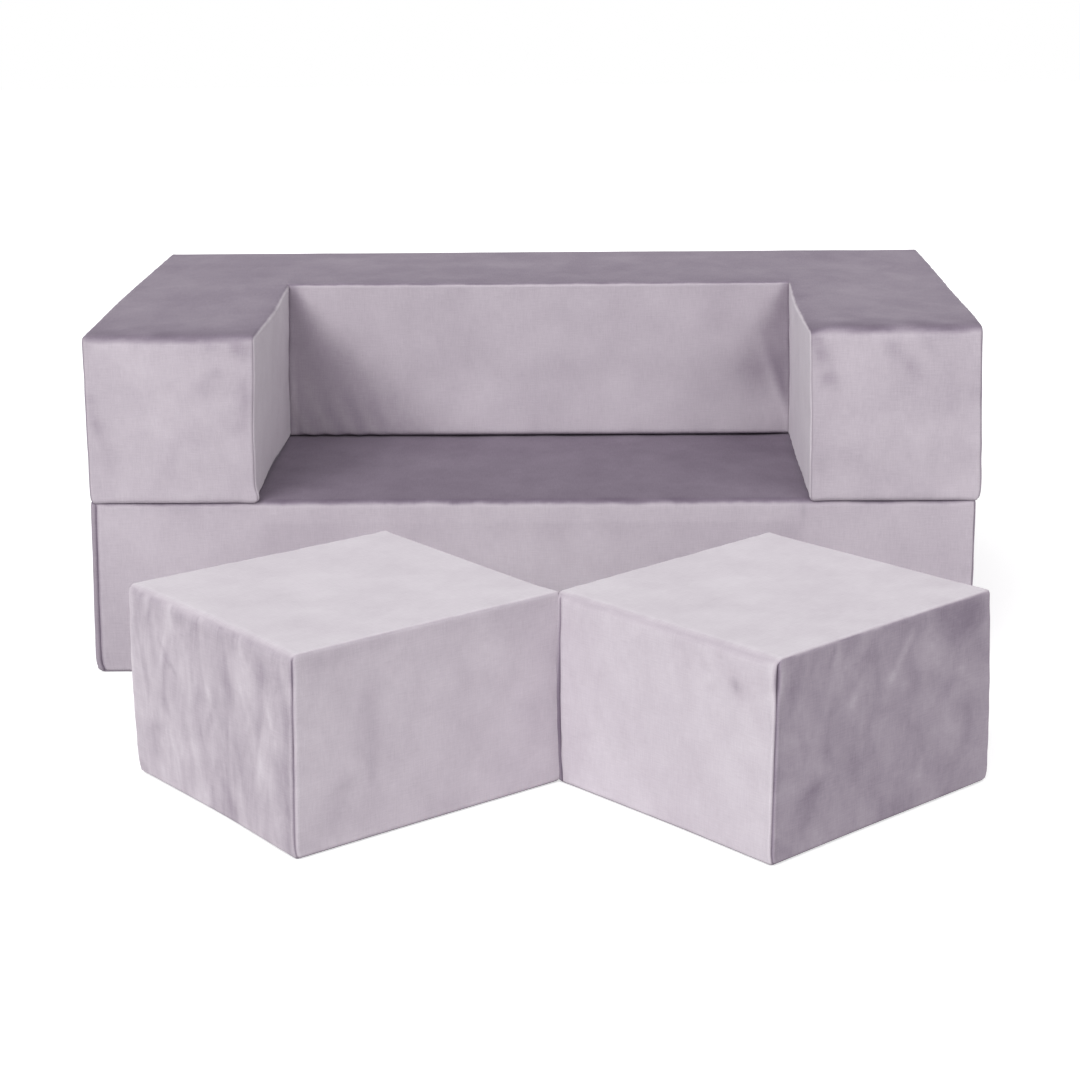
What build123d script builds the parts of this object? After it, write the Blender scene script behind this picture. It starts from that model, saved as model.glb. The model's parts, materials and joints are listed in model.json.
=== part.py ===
from build123d import *
import math
import os

# Modular foam play sofa in zipped velvet covers: a base block, a U-shaped back unit that rests
# on the base, and two loose poufs that stand corner to corner in front of it.
# Millimetres and degrees, +Z up. X runs along the seat, Y from the seat's front to its rear,
# and the origin is the middle of the base's underside.
# Each cover is one strip over the front, top and rear, with sewn-in end panels and an underside,
# and its seams lie where the rounded edges begin.

# The modules, measured between their edges
sofa_width = 1000
sofa_depth = 582
base_height = 205
back_height = 190
arm_width = 187
seat_depth = 315
pouf_length = 313
pouf_breadth = 297
pouf_height = 203

# Where the poufs stand
pouf_stand_off = 114
pouf_gap = 6
poufs_aside = 33.5
left_pouf_turn = 39.7
right_pouf_turn = 43.7

# Foam and cover. The cover rounds off every outer edge. The foam under it is trimmed square
# with bevelled edges
crown = 4
crown_share = 0.012
edge_radius = 9
velvet = 1.2
core_clearance = 0.3
overrun = 20

# Zip: two tapes with a moulded chain half each, along a slot low in the rear wall
zip_margin = 36
zip_height = 24
slot_height = 13
slot_clearance = 1
tape_width = 13
tape_thickness = 0.8
tape_clearance = 0.2
tape_tail = 6
chain_width = 2.6
chain_thickness = 2.4
chain_bevel = 0.6
chain_gap = 1.2
stop_length = 3

# Zip slider
slider_length = 13
slider_mouth_width = 11
slider_tail_width = 8.8
slider_bevel = 1.6
plate_thickness = 1
flange_thickness = 0.8
slider_clearance = 0.25
flange_lift = 0.3
post_length = 3.2
post_thickness = 0.8
post_offset = 3.4
bridge_length = 5.8
bridge_width = 2.4
bridge_cap = 1.1
bridge_bevel = 0.8
parking_gap = 0.3

# Zip pull
pull_length = 26
pull_width = 6.6
pull_waist_width = 4.8
pull_thickness = 1.2
pull_bevel = 1.1
eye_bar = 1.4
eye_length = 6
eye_width = 3.6
eye_clearance = 0.25

# Sizes that follow
core_inset = velvet + core_clearance
bay_width = sofa_width - 2 * arm_width
bay_rear = seat_depth - sofa_depth / 2
tape_face = -velvet - tape_clearance
tape_back = tape_face - tape_thickness
chain_top = tape_face + chain_thickness
chain_side = chain_gap / 2 + chain_width
plate_low = chain_top + slider_clearance
plate_high = plate_low + plate_thickness
keel_high = tape_back - slider_clearance
keel_low = keel_high - plate_thickness
eye_swing = math.hypot(eye_bar, pull_thickness) / 2 + eye_clearance
pull_axis_height = plate_high + eye_swing


def box_between(low, high):
    """Box from its lowest to its highest corner."""
    middle = [(a + b) / 2 for a, b in zip(low, high)]
    sides = [b - a for a, b in zip(low, high)]
    return Pos(*middle) * Box(*sides)


def swell_of(length):
    """How far a side swells past the straight line between its ends."""
    return min(crown, crown_share * length)


def flank(start, end, swollen):
    """One side of an outline that runs counter-clockwise, straight or swollen outwards."""
    along = end - start
    if not swollen:
        return Line(start, end)
    outward = Vector(along.Y, -along.X).normalized()
    return ThreePointArc(start, (start + end) / 2 + outward * swell_of(along.length), end)


def outline(corners, kept, swollen, trim, size):
    """Face with a flag for each side that swells. Corners are rounded or bevelled, bar those kept sharp."""
    points = [Vector(*corner) for corner in corners]
    ends = points[1:] + points[:1]
    face = make_face(Curve() + [flank(*both, flag) for *both, flag in zip(points, ends, swollen)])
    for index, point in enumerate(points):
        if index not in kept:
            face = trim(face.vertices().sort_by_distance(point)[0], size)
    return face


def soft_block(width, depth, height, inset):
    """Rectangular block: its section, drawn in at the edges, runs along X to flat ends."""
    trim = chamfer if inset else fillet
    size = edge_radius - inset
    y = depth / 2 - inset
    top = height - inset
    corners = [(-y, inset), (y, inset), (y, top), (-y, top)]
    section = outline(corners, (), (False, True, False, True), trim, size)
    body = extrude(Plane.YZ * section, width / 2 - inset, both=True)
    ends = body.faces().sort_by(Axis.X)
    return trim(ends[0].edges() + ends[-1].edges(), size)


def soft_u(inset, full_bay=True):
    """Back unit's block: two arms and the back around the seat bay, its rear flat for the zip."""
    trim = chamfer if inset else fillet
    size = edge_radius - inset
    x = sofa_width / 2 - inset
    y = sofa_depth / 2 - inset
    bay_x = bay_width / 2 + inset
    bay_y = bay_rear + inset
    corners = [(-x, -y), (-bay_x, -y), (-bay_x, bay_y), (bay_x, bay_y), (bay_x, -y), (x, -y), (x, y), (-x, y)]
    bay_corners = (2, 3)
    swollen = [True] + [full_bay] * 3 + [True] * 2 + [False, True]
    face = outline(corners, bay_corners, swollen, trim, size)
    body = extrude(Pos(0, 0, inset) * face, back_height - 2 * inset)
    rims = body.faces().sort_by(Axis.Z)
    return trim(rims[0].edges() + rims[-1].edges(), size)


def wall_rise(height):
    """How far a block's rear wall has swollen out at the lower edge of the zip's tapes."""
    share = (zip_height - tape_width) / height
    return 4 * swell_of(height) * share * (1 - share)


def zip_place(depth, rise=0):
    """From the zip's frame to its module's: X along the zip, Y down, Z out of the rear wall."""
    return Pos(0, depth / 2 + rise, zip_height) * Rot(-90, 0, 0)


def slot_length(width):
    return width - 2 * zip_margin


def chain_length(width):
    return slot_length(width) - 2 * slot_clearance - 2 * stop_length


def slider_travel(width):
    return chain_length(width) - slider_length - 2 * parking_gap


def zip_slot(width):
    """Cuts the opening in the cover that the chain shows through."""
    return extrude(SlotOverall(slot_length(width), slot_height), overrun, both=True)


def zip_groove(width):
    """Cuts the relief in the foam behind the tapes and the slider."""
    x = slot_length(width) / 2 + tape_tail + slot_clearance
    y = tape_width + slot_clearance
    return box_between((-x, -y, keel_low - slot_clearance), (x, y, overrun))


def zip_tape(width, side):
    """One tape and its half of the chain. side is -1 for the upper tape and 1 for the lower."""
    x = slot_length(width) / 2 + tape_tail
    tape = box_between((-x, chain_gap / 2, tape_back), (x, tape_width, tape_face))
    x = chain_length(width) / 2
    chain = box_between((-x, chain_gap / 2, tape_face), (x, chain_side, chain_top))
    chain = chamfer(chain.edges().filter_by(Axis.X).group_by(Axis.Z)[-1], chain_bevel)
    half = tape + chain
    return half if side > 0 else mirror(half, Plane.XZ)


def zip_stops(width):
    """Two clips across the ends of the chain."""
    x = chain_length(width) / 2
    stop = box_between((x, -chain_side, tape_face), (x + stop_length, chain_side, chain_top))
    return stop + mirror(stop, Plane.YZ)


def slider_outline(inset):
    """Slider seen square on: wide at the mouth, +X, and narrower at the tail."""
    x = slider_length / 2 - inset
    mouth = slider_mouth_width / 2 - inset
    tail = slider_tail_width / 2 - inset
    face = make_face(Polyline((-x, -tail), (x, -mouth), (x, mouth), (-x, tail), close=True))
    return chamfer(face.vertices(), slider_bevel)


def zip_slider():
    """Slider: two plates on a post, side flanges and the bridge that carries the pull."""
    upper = Pos(0, 0, plate_low) * extrude(slider_outline(0), plate_thickness)
    keel = Pos(0, 0, keel_low) * extrude(slider_outline(0), plate_thickness)
    rim = slider_outline(0) - slider_outline(flange_thickness)
    flange_low = tape_face + flange_lift
    flanges = Pos(0, 0, flange_low) * extrude(rim, plate_low - flange_low)
    channel = chain_side + slider_clearance
    flanges -= box_between((-slider_length, -channel, tape_face), (slider_length, channel, plate_low))
    post_start = post_offset - post_length / 2
    post_end = post_offset + post_length / 2
    y = post_thickness / 2
    post = box_between((post_start, -y, keel_high), (post_end, y, plate_low))
    x = bridge_length / 2
    y = bridge_width / 2
    tunnel_top = pull_axis_height + eye_swing
    bridge = box_between((-x, -y, plate_high), (x, y, tunnel_top + bridge_cap))
    bridge = chamfer(bridge.edges().filter_by(Axis.Y).group_by(Axis.Z)[-1], bridge_bevel)
    tunnel = box_between((-eye_swing, -bridge_width, plate_high), (eye_swing, bridge_width, tunnel_top))
    return upper + keel + flanges + post + (bridge - tunnel)


def zip_pull():
    """Flat tab whose eye bar turns under the slider's bridge. It lies towards -X."""
    near = eye_bar / 2
    far = near - pull_length
    waist = -near - eye_length - eye_bar
    wide = pull_width / 2
    narrow = pull_waist_width / 2
    points = [(near, wide), (waist, narrow), (far, wide), (far, -wide), (waist, -narrow), (near, -wide)]
    face = make_face(Polyline(*points, close=True))
    face = chamfer(face.vertices().group_by(Axis.X)[0] + face.vertices().group_by(Axis.X)[-1], pull_bevel)
    face -= Pos(-near - eye_length / 2, 0) * Rectangle(eye_length, eye_width)
    return Pos(0, 0, pull_axis_height - pull_thickness / 2) * extrude(face, pull_thickness)


def zip_pieces(name, width, place):
    """The zip of one module, closed, with its slider parked at the +X end."""
    parked = Pos(slider_travel(width) / 2, 0, 0)
    pieces = {
        "zip_tape_upper": zip_tape(width, -1),
        "zip_tape_lower": zip_tape(width, 1),
        "zip_stops": zip_stops(width),
        "zip_slider": parked * zip_slider(),
        "zip_pull": parked * zip_pull(),
    }
    return {f"{name}_{piece}": place * shape for piece, shape in pieces.items()}


def block_module(name, width, depth, height):
    """Rectangular foam block in its cover, with the zip in its rear wall."""
    outer, lining, core = [soft_block(width, depth, height, inset) for inset in (0, velvet, core_inset)]
    shell = outer - lining
    zip_at = zip_place(depth, wall_rise(height))
    x = width / 2 + overrun
    y = depth / 2 + overrun
    top = height + overrun
    seam_x = width / 2 - edge_radius
    strip = shell & box_between((-seam_x, -y, edge_radius), (seam_x, y, top))
    return {
        f"{name}_foam_core": core - zip_at * zip_groove(width),
        f"{name}_cover_strip": strip - zip_at * zip_slot(width),
        f"{name}_cover_left_end": shell & box_between((-x, -y, edge_radius), (-seam_x, y, top)),
        f"{name}_cover_right_end": shell & box_between((seam_x, -y, edge_radius), (x, y, top)),
        f"{name}_cover_underside": shell & box_between((-x, -y, -overrun), (x, y, edge_radius)),
        **zip_pieces(name, width, zip_at),
    }


def back_foam():
    """The back unit's foam, as the three blocks that are glued into its U."""
    foam = soft_u(core_inset, full_bay=False)
    x = sofa_width / 2 + overrun
    y = sofa_depth / 2 + overrun
    bay_x = bay_width / 2 + core_inset
    bay_y = bay_rear + core_inset
    left_arm = box_between((-x, -y, 0), (-bay_x, bay_y, back_height))
    back = box_between((-x, bay_y, 0), (x, y, back_height))
    return {
        "foam_left_arm": foam & left_arm,
        "foam_right_arm": foam & mirror(left_arm, Plane.YZ),
        "foam_back": foam & back,
    }


def back_unit():
    """U-shaped back unit in its cover: strip, outer and bay panels, underside and rear zip."""
    shell = soft_u(0) - soft_u(velvet)
    zip_at = zip_place(sofa_depth)
    x = sofa_width / 2 + overrun
    y = sofa_depth / 2 + overrun
    top = back_height + overrun
    seam_x = sofa_width / 2 - edge_radius
    seam_y = edge_radius - sofa_depth / 2
    bay_x = bay_width / 2
    bay_seam_x = bay_x + edge_radius
    bay_seam_y = bay_rear + edge_radius
    fold_x = bay_x - crown
    left_bay = box_between((-bay_seam_x, seam_y, edge_radius), (-fold_x, bay_seam_y, top))
    right_bay = mirror(left_bay, Plane.YZ)
    rear_bay = box_between((-fold_x, seam_y, edge_radius), (fold_x, bay_seam_y, top))
    strip = shell & box_between((-seam_x, -y, edge_radius), (seam_x, y, top))
    groove = zip_at * zip_groove(sofa_width)
    pieces = {f"back_unit_{block}": solid - groove for block, solid in back_foam().items()}
    pieces["back_unit_cover_strip"] = strip - left_bay - right_bay - rear_bay - zip_at * zip_slot(sofa_width)
    pieces["back_unit_cover_left_side"] = shell & box_between((-x, -y, edge_radius), (-seam_x, y, top))
    pieces["back_unit_cover_right_side"] = shell & box_between((seam_x, -y, edge_radius), (x, y, top))
    pieces["back_unit_cover_left_bay"] = shell & left_bay
    pieces["back_unit_cover_right_bay"] = shell & right_bay
    pieces["back_unit_cover_rear_bay"] = shell & rear_bay
    pieces["back_unit_cover_underside"] = shell & box_between((-x, -y, -overrun), (x, y, edge_radius))
    pieces.update(zip_pieces("back_unit", sofa_width, zip_at))
    return {name: Pos(0, 0, base_height) * solid for name, solid in pieces.items()}


def pouf_place(side, turn):
    """Stands a pouf with its inner corner beside the other pouf's. side is -1 left, 1 right."""
    left, right = math.radians(left_pouf_turn), math.radians(right_pouf_turn)
    reach = max(pouf_breadth * math.cos(left), pouf_length * math.sin(right))
    meet_y = -sofa_depth / 2 - pouf_stand_off - reach
    angle = math.radians(turn)
    rounding = edge_radius * (math.cos(angle) + math.sin(angle) - 1)
    corner = Vector(poufs_aside + side * (pouf_gap / 2 - rounding), meet_y)
    length_way = Vector(math.cos(angle), math.sin(angle)) * pouf_length / 2
    breadth_way = Vector(-math.sin(angle), math.cos(angle)) * pouf_breadth / 2
    middle = corner + (length_way - breadth_way) * side
    return Pos(middle.X, middle.Y, 0) * Rot(0, 0, turn - 90)


def pouf(name, side, turn):
    """Loose pouf: one end panel faces front right, and the zip faces the sofa."""
    pieces = block_module(name, pouf_breadth, pouf_length, pouf_height)
    place = pouf_place(side, turn)
    return {piece: place * solid for piece, solid in pieces.items()}


def report_places():
    """Prints where each zip slider's pull turns, which way the zip runs and the slider's travel."""
    modules = {
        "base": (zip_place(sofa_depth, wall_rise(base_height)), sofa_width),
        "back_unit": (Pos(0, 0, base_height) * zip_place(sofa_depth), sofa_width),
    }
    for name, side, turn in (("pouf_left", -1, left_pouf_turn), ("pouf_right", 1, right_pouf_turn)):
        place = pouf_place(side, turn) * zip_place(pouf_length, wall_rise(pouf_height))
        modules[name] = (place, pouf_breadth)
    for name, (place, width) in modules.items():
        pull = (place * Pos(slider_travel(width) / 2, 0, pull_axis_height)).position
        along = (place * Pos(1, 0, 0)).position - place.position
        print(name, "pull turns at", pull, "zip runs", along, "travel", slider_travel(width))


sofa = {
    **block_module("base", sofa_width, sofa_depth, base_height),
    **back_unit(),
    **pouf("pouf_left", -1, left_pouf_turn),
    **pouf("pouf_right", 1, right_pouf_turn),
}

os.makedirs("parts", exist_ok=True)
for node, solid in sofa.items():
    export_step(solid, f"parts/{node}.step")
report_places()
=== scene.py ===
import json
import math

import bpy
import numpy as np
from mathutils import Matrix, Vector, kdtree


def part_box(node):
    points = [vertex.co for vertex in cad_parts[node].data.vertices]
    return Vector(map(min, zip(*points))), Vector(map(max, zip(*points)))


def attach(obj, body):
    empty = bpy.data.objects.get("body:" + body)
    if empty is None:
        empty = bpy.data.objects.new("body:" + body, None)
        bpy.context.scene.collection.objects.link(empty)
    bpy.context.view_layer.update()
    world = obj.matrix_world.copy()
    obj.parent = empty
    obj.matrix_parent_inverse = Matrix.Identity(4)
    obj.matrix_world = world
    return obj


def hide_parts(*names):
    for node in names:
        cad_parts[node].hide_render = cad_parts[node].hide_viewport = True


# Modular foam play sofa: looks. A base, a U-shaped back unit and two poufs, each a foam block in a
# velvet cover that is sewn from panels and closed by a zip. Metres, in the frame of the CAD model.
# Each cover is made as one closed skin, and then parted along its seams into its panels.
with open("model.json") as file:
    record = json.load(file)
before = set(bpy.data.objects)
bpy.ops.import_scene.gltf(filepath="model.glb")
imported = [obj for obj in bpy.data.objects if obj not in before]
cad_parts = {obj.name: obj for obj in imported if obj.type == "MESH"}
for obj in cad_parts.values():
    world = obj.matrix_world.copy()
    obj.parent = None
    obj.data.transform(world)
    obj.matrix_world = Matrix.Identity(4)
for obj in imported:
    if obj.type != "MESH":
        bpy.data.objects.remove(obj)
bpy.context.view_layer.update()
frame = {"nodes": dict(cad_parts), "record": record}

# Modules, as in the CAD source
sofa_width = 1.0
sofa_depth = 0.582
base_height = 0.205
back_height = 0.19
arm_width = 0.187
seat_depth = 0.315
pouf_length = 0.313
pouf_breadth = 0.297
pouf_height = 0.203
velvet = 0.0012
crown = 0.004
crown_share = 0.012
seat_x = sofa_width / 2 - arm_width
seat_y = seat_depth - sofa_depth / 2

# Zips, as in the CAD source
zip_margin = 0.036
zip_height = 0.024
slot_height = 0.013
slot_clearance = 0.001
tape_width = 0.013
tape_thickness = 0.0008
tape_clearance = 0.0002
tape_tail = 0.006
chain_width = 0.0026
chain_thickness = 0.0024
chain_gap = 0.0012
stop_length = 0.003
tape_face = -velvet - tape_clearance
chain_top = tape_face + chain_thickness

# Coils of nylon wire, and stitches that run down into the cloth at their ends
coil_pitch = 0.0018
coil_wire = 0.0003
coil_points = 8
wire_turns = (0, math.pi / 2, math.pi, 3 * math.pi / 2)
stitch_length = 0.0032
stitch_pitch = 0.0048
stitch_offset = 0.0034
stitch_radius = 0.00035
stitch_shares = (0, 0.25, 0.5, 0.75, 1)
stitch_rise = np.array((-0.8, 0.3, 0.6, 0.3, -0.8))

# Skin: folds are rounder than seams, and narrow towards the seams that they run into
seam_radius = 0.0032
foot_radius = 0.0058
foot_turn = (0.1, 0.8)
bay_foot_radius = 0.0125
bay_foot_place = (-seat_x, -0.15, 0)
bay_foot_size = (0.05, 0.085, 0.05)
rear_fold_radius = 0.005
fold_taper = 0.025
fold_end_share = 0.55

# Radius of a module's upper front fold, and of its lower folds
fold_radii = {
    "base": (0.0085, 0.0055),
    "back_unit": (0.013, 0.0085),
    "pouf_left": (0.0105, 0.005),
    "pouf_right": (0.0115, 0.005),
}

# Grid of a skin: its step, how far its lines are from an edge, and a length that is as good as none
grid_step = 0.0055
fringe = (0, 0.0006, 0.0013, 0.0021, 0.0032, 0.0047, 0.0065, 0.009, 0.012)
tie = 1e-7

# Which way cloth faces: how far its normal has turned where a weight starts and where it is full
off_floor = (-0.9, -0.2)
level_limits = (0.1, 0.6)
wall_limits = (0.5, 0.9)
backrest_limits = (0.2, 0.9)
top_limits = (0.2, 0.95)
rear_limits = (0.5, 0.8)
worked_top_limits = (0.5, 0.75)

# Seams: a groove between two ridges, with puckers across it. Level ones are drawn in less
groove_depth = 0.0014
groove_width = 0.0011
level_groove_share = 0.15
standing_groove_shares = {"base": 0.9, "back_unit": 0.45, "pouf_left": 1.0, "pouf_right": 1.0}
ridge_height = 0.0006
ridge_offset = 0.0033
ridge_width = 0.0018
seam_unevenness = 0.3
seam_wave = 0.03
pucker_height = 0.00025
pucker_wave = 0.024
pucker_reach = 0.012
wrapped_seams = {"base": 0.0062, "pouf_right": 0.0062}
hem_depth = 0.0016

# A pouf's corner seam, which gapes near its top
corner_height = 0.182
open_gap = 0.0035
slight_gap = 0.001
gap_size = (0.004, 0.0026, 0.014)
lip_size = (0.011, 0.011, 0.018)
lip_share = 0.35
# Strength of the painted highlight on the lips and of the painted shade in the gap
lip_highlight = 0.25
gap_shadow = 0.7

# Loose corners: the corner's side in X and Y, how far its cloth stands out in X and in Y, the share
# of that at the top, and how fast it grows towards the foot
flares = {
    "base": ((-1, -1, 0.009, 0, 0.35, 1),),
    "back_unit": ((-1, -1, 0.0035, 0, 0.4, 1), (1, -1, 0.006, 0, 0, 1)),
    "pouf_left": ((-1, -1, 0.0034, 0.0028, 1, 1), (1, -1, 0, 0.0055, 0, 2), (1, 1, 0.0024, 0.0024, 1, 1)),
    "pouf_right": ((1, 1, 0.0036, 0.0036, 0, 1), (1, -1, 0, 0.005, 0, 2)),
}
flare_reach = 0.034
foot_pinch = 0.45
pinch_reach = 0.009
end_swell = 0.0018

# Slow unevenness, by size and wavelength, with the share of it that is left at the edges
slow_sags = ((0.0005, 0.15), (0.0003, 0.06))
edge_sag = 0.25
sag_limits = (0.005, 0.05)

# Back unit: where its cloth leans over the bay, is drawn in, stands proud, sags and folds
bay_leans = ((-1, 0.0045), (1, 0.003))
lean_reach = 0.03
lean_height = 0.06
left_waist = 0.0036
right_waist = 0.0026
waist_height = 0.04
bay_rise = 0.0035
bay_rise_reach = 0.11
arm_rise = 0.007
arm_rise_limits = (seat_x - 0.02, seat_x + 0.03)
arm_droop = 0.004
droop_depth = 0.012
droop_height = 0.016
backrest_reach = 0.005
backrest_reach_height = 0.08
backrest_fade = 0.03
knot_place = (-seat_x, -sofa_depth / 2, 0.007)
knot_size = (0.012, 0.012, 0.007)
knot_push = (0.00342, -0.00152, 0)
short_fold_limits = (-0.15, -0.24)
short_fold_rise = 0.0012
short_fold_lean = 0.42
short_fold_pitch = 0.029
short_fold_height = 0.05
seam_fold_rise = 0.0016
seam_fold_offset = 0.01
seam_fold_width = 0.005
seam_fold_limits = (0.12, 0.03)
long_fold_rise = 0.0022
long_fold_place = (0.283, 0.11)
long_fold_lean = 0.333
long_fold_middle = 0.065
long_fold_reach = 0.05
long_fold_width = 0.008
hollow_share = 0.3
hollow_offset = 0.022
hollow_width = 0.018
# How far apart the backrest folds' slope is probed, how strongly it is painted as light and shade, and the
# limit
fold_probe = 0.001
fold_shading = 0.45
shading_limit = 0.12

# Photograph's camera, fitted to the corners of the four blocks
photo_size = 1080
focal_pixels = 2406.62
sensor_width = 36
camera_place = (0.07961, -2.92143, 0.90779)
camera_pitch = 0.27754
camera_yaw = -0.02715
camera_roll = 0.0108

# Light: shares of a level face's light, which add up to white paper
sky_level = 0.5
key_level = 0.38
key_from = (-1.3, -1.9, 1.9)
fill_level = 0.12
fill_from = (1.5, -2.2, 1.5)
sun_spread = 0.7
light_distance = 3
white = (1, 1, 1, 1)

# Floor
floor_size = 14
floor_drop = 0.0002
floor_colour = (0.8, 0.8, 0.8, 1)
floor_glow = 0.52

# Smooth random waves
wave_count = 14
wave_spread = (0.7, 1.4)


# Helpers

def smooth(value, low, high):
    """Smooth step from 0 at low to 1 at high."""
    share = np.clip((value - low) / (high - low), 0, 1)
    return share * share * (3 - 2 * share)


def bump_at(points, centre, size):
    """Soft round weight that is 1 at the centre and fades over the size, given along each axis."""
    away = (points - np.array(centre)) / np.array(size)
    return np.exp(-(away * away).sum(axis=1))


def ripple(points, wavelength, seed):
    """Smooth random waves of about the wavelength, mostly between -1 and 1."""
    chance = np.random.default_rng(seed)
    ways = chance.normal(size=(wave_count, 3))
    ways /= np.linalg.norm(ways, axis=1)[:, None]
    ways *= 2 * math.pi / wavelength * chance.uniform(*wave_spread, wave_count)[:, None]
    phases = points @ ways.T + chance.uniform(0, 2 * math.pi, wave_count)
    return np.sin(phases).sum(axis=1) / math.sqrt(wave_count)


def ripples(points, layers):
    """Sum of ripples, each given by its size, wavelength and seed."""
    return sum(size * ripple(points, wavelength, seed) for size, wavelength, seed in layers)


def hump(away, width):
    """Soft weight that is 1 where away is 0 and fades over the width."""
    return np.exp(-((away / width) ** 2))


def swell_of(length):
    """How far a side swells past the straight line between its ends, as in the CAD source."""
    return min(crown, crown_share * length)


def nearest_to(points):
    """Function that finds the nearest of the points: its spot, its index and how far it is."""
    tree = kdtree.KDTree(len(points))
    for index, point in enumerate(points):
        tree.insert(point, index)
    tree.balance()
    return tree.find


def arch(value, low, high):
    """Parabola that is 0 at low and high and 1 halfway between."""
    share = np.clip((value - low) / (high - low), 0, 1)
    return 4 * share * (1 - share)


# Skin of a module

def grid_lines(edges, extra=()):
    """Grid coordinates through the edges, close together beside each edge."""
    border = np.array(fringe)
    lines = []
    for low, high in zip(edges, edges[1:]):
        start, end = low + border[-1], high - border[-1]
        middle = np.linspace(start, end, max(2, round((end - start) / grid_step)) + 1)
        for place in extra:
            if start < place < end:
                middle[np.argmin(abs(middle - place))] = place
        lines += [low + border, middle, high - border]
    return np.unique(np.round(np.concatenate(lines), 7))


def shell_faces(inside):
    """Quads round the cells that are inside, as grid indices, with each quad's outward direction."""
    padded = np.pad(inside, 1)
    faces, ways = [], []
    for axis in range(3):
        u, v = (axis + 1) % 3, (axis + 2) % 3
        for sign in (-1, 1):
            outer = padded & ~np.roll(padded, -sign, axis)
            cells = np.argwhere(outer) - 1
            cells[:, axis] += sign > 0
            corners = [(0, 0), (1, 0), (1, 1), (0, 1)]
            quad = np.repeat(cells[:, None], 4, axis=1)
            for index, (a, b) in enumerate(corners if sign > 0 else corners[::-1]):
                quad[:, index, u] += a
                quad[:, index, v] += b
            faces.append(quad)
            way = np.zeros((len(cells), 3))
            way[:, axis] = sign
            ways.append(way)
    return np.concatenate(faces), np.concatenate(ways)


def round_folds(sharp, low, high, height, in_bay, radii, full):
    """Rounds the section across X. Gives the points, how deep each is inside, and the way out."""
    y, z = sharp[:, 1], sharp[:, 2]
    bay_edge = in_bay & (y < (low + high) / 2) & (z > height / 2)
    fold = np.where(z < height / 2, radii[1], np.where(y > 0, rear_fold_radius, radii[0]))
    radius = seam_radius + full * (fold - seam_radius)
    radius = np.where(bay_edge, seam_radius, radius)
    near_y = np.clip(y, low + radius, high - radius)
    near = np.stack([near_y, np.clip(z, radius, height - radius)], axis=1)
    away = sharp[:, 1:] - near
    reach = np.linalg.norm(away, axis=1)
    points = sharp.copy()
    points[:, 1:] = near + away * (abs(away).max(axis=1) / np.maximum(reach, tie))[:, None]
    middle = np.stack([(low + high) / 2, np.full(len(y), height / 2)], axis=1)
    half = np.stack([(high - low) / 2, np.full(len(y), height / 2)], axis=1)
    offset = points[:, 1:] - middle
    beyond = abs(offset) - half + radius[:, None]
    both = beyond.min(axis=1) > 0
    flat = np.where(both, 0, beyond.max(axis=1))
    depth = radius - np.where(both, np.linalg.norm(np.maximum(beyond, 0), axis=1), flat)
    single = np.eye(2)[beyond.argmax(axis=1)]
    out = np.where(both[:, None], np.maximum(beyond, 0), single) * np.sign(offset)
    out /= np.maximum(np.linalg.norm(out, axis=1), tie)[:, None]
    return points, np.where(depth < tie, 0, depth), out


def round_seams(points, normals, depth, out, edge, way, chosen, foot):
    """Rounds the seam where the section meets a face across X, at a distance of edge the way out."""
    radius = seam_radius + (foot - seam_radius) * smooth(-out[:, 1], *foot_turn)
    outward = radius - depth
    sideways = radius - edge
    near = chosen & (outward > 0) & (sideways > 0)
    length = np.maximum(np.hypot(outward, sideways), tie)
    turned_out, turned_side = outward / length, sideways / length
    rise = np.where(near, depth - radius * (1 - turned_out), 0)
    slide = np.where(near, edge - radius * (1 - turned_side), 0)
    points[:, 1:] += out * rise[:, None]
    points[:, 0] += way * slide
    rounded = np.column_stack([way * turned_side, out * turned_out[:, None]])
    facing = np.column_stack([way, np.zeros((len(way), 2))])
    normals[near] = rounded[near]
    flat = chosen & (outward <= 0) & (edge < tie)
    normals[flat] = facing[flat]


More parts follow.
